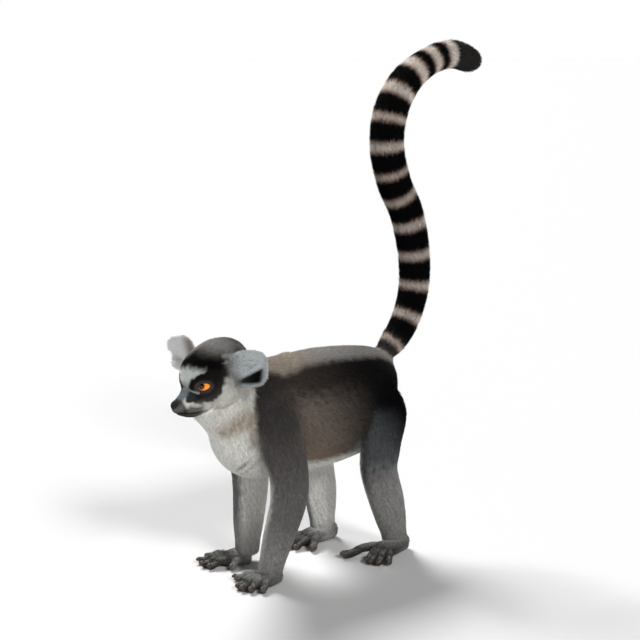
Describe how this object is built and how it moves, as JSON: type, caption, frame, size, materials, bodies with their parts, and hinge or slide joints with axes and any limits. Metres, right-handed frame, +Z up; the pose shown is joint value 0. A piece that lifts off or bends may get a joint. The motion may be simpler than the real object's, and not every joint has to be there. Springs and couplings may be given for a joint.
{
  "type": "ring-tailed lemur",
  "caption": "Life-size furred lemur figure standing on all fours, head turned to its left, long ringed tail raised in an S curve",
  "frame": {"origin": "on the floor, under the centre of the whole animal's bounding box", "axes": "+Z up, the animal faces -Y and its left side is +X"},
  "size_m": [0.1844, 0.5498, 0.734],
  "materials": {
    "body_coat": "dense soft fur, brown-grey back, grey flanks, cream chest and belly",
    "limb_coat": "short grey fur, paler on the inner side",
    "face_coat": "short cream fur with a dark cap, black eye patches and a dark muzzle",
    "tail_coat": "long soft fur in black and pale rings",
    "paw": "dark bare skin with short grey fur on the back of it",
    "eye": "polished orange glass with a round black pupil"
  },
  "bodies": {
    "root": {"head": "face_coat", "neck": "body_coat", "eye_left": "eye", "eye_right": "eye", "ear_left": "face_coat", "ear_right": "face_coat", "upper_arm_left": "limb_coat", "forearm_left": "limb_coat", "hand_left": "paw", "upper_arm_right": "limb_coat", "forearm_right": "limb_coat", "hand_right": "paw", "thigh_left": "limb_coat", "shank_left": "limb_coat", "foot_left": "paw", "thigh_right": "limb_coat", "shank_right": "limb_coat", "foot_right": "paw", "trunk": "body_coat", "tail_root": "tail_coat", "tail_lower": "tail_coat", "tail_middle": "tail_coat", "tail_upper": "tail_coat", "tail_tip": "tail_coat"}
  },
  "joints": []
}
